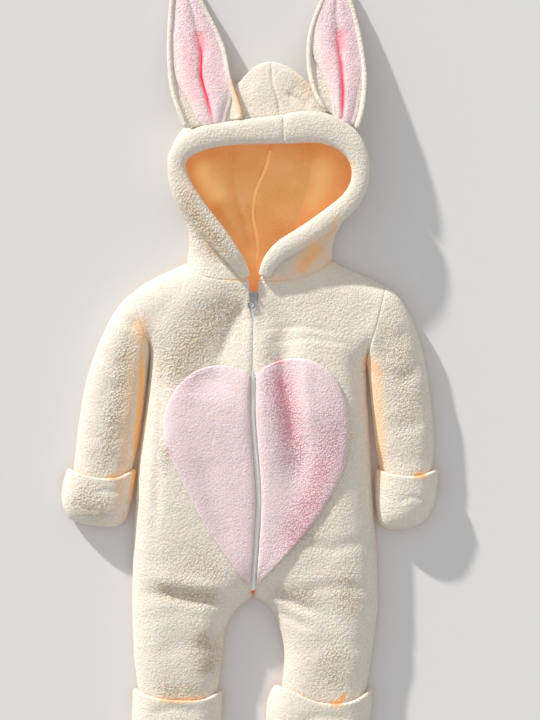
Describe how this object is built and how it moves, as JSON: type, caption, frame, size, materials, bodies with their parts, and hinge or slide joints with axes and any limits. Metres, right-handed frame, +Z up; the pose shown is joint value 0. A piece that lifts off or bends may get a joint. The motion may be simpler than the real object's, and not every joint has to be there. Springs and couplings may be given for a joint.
{
  "type": "hooded baby onesie",
  "caption": "Hooded fleece baby suit laid flat, with rabbit ears, fold-over mitts and feet, a front zip with a swinging pull and a heart on the belly.",
  "frame": {"origin": "centre of the outline, on the surface that the suit lies on", "axes": "+Y from the feet towards the hood, +X to the right of somebody who looks down on the front, +Z up from the surface"},
  "size_m": [0.4731, 0.9993, 0.055],
  "materials": {
    "cream_fleece": "curly deep pile",
    "pink_fleece": "short curly pile",
    "zip_tape": "fine woven tape",
    "zip_coil": "satin",
    "nickel": "bright plated"
  },
  "bodies": {
    "suit": {"front_left": "cream_fleece", "front_right": "cream_fleece", "back_left": "cream_fleece", "back_right": "cream_fleece", "sleeve_left": "cream_fleece", "sleeve_right": "cream_fleece", "mitt_front_left": "cream_fleece", "mitt_front_right": "cream_fleece", "mitt_back_left": "cream_fleece", "mitt_back_right": "cream_fleece", "foot_front_left": "cream_fleece", "foot_front_right": "cream_fleece", "foot_back_left": "cream_fleece", "foot_back_right": "cream_fleece", "hood_left": "cream_fleece", "hood_right": "cream_fleece", "hood_rim_left": "cream_fleece", "hood_rim_right": "cream_fleece", "ear_left": "cream_fleece", "ear_right": "cream_fleece", "ear_lining_left": "pink_fleece", "ear_lining_right": "pink_fleece", "heart_left": "pink_fleece", "heart_right": "pink_fleece", "zip_tape_left": "zip_tape", "zip_tape_right": "zip_tape", "zip_coil": "zip_coil", "zip_slider": "nickel"},
    "pull_tab": {"zip_pull": "nickel"}
  },
  "joints": [
    {"name": "pull_hinge", "type": "hinge", "parent": "suit", "child": "pull_tab", "pos_m": [0.00572, 0.0942, 0.03606], "axis": [-1, 0, 0], "range_deg": [0, 130]}
  ]
}
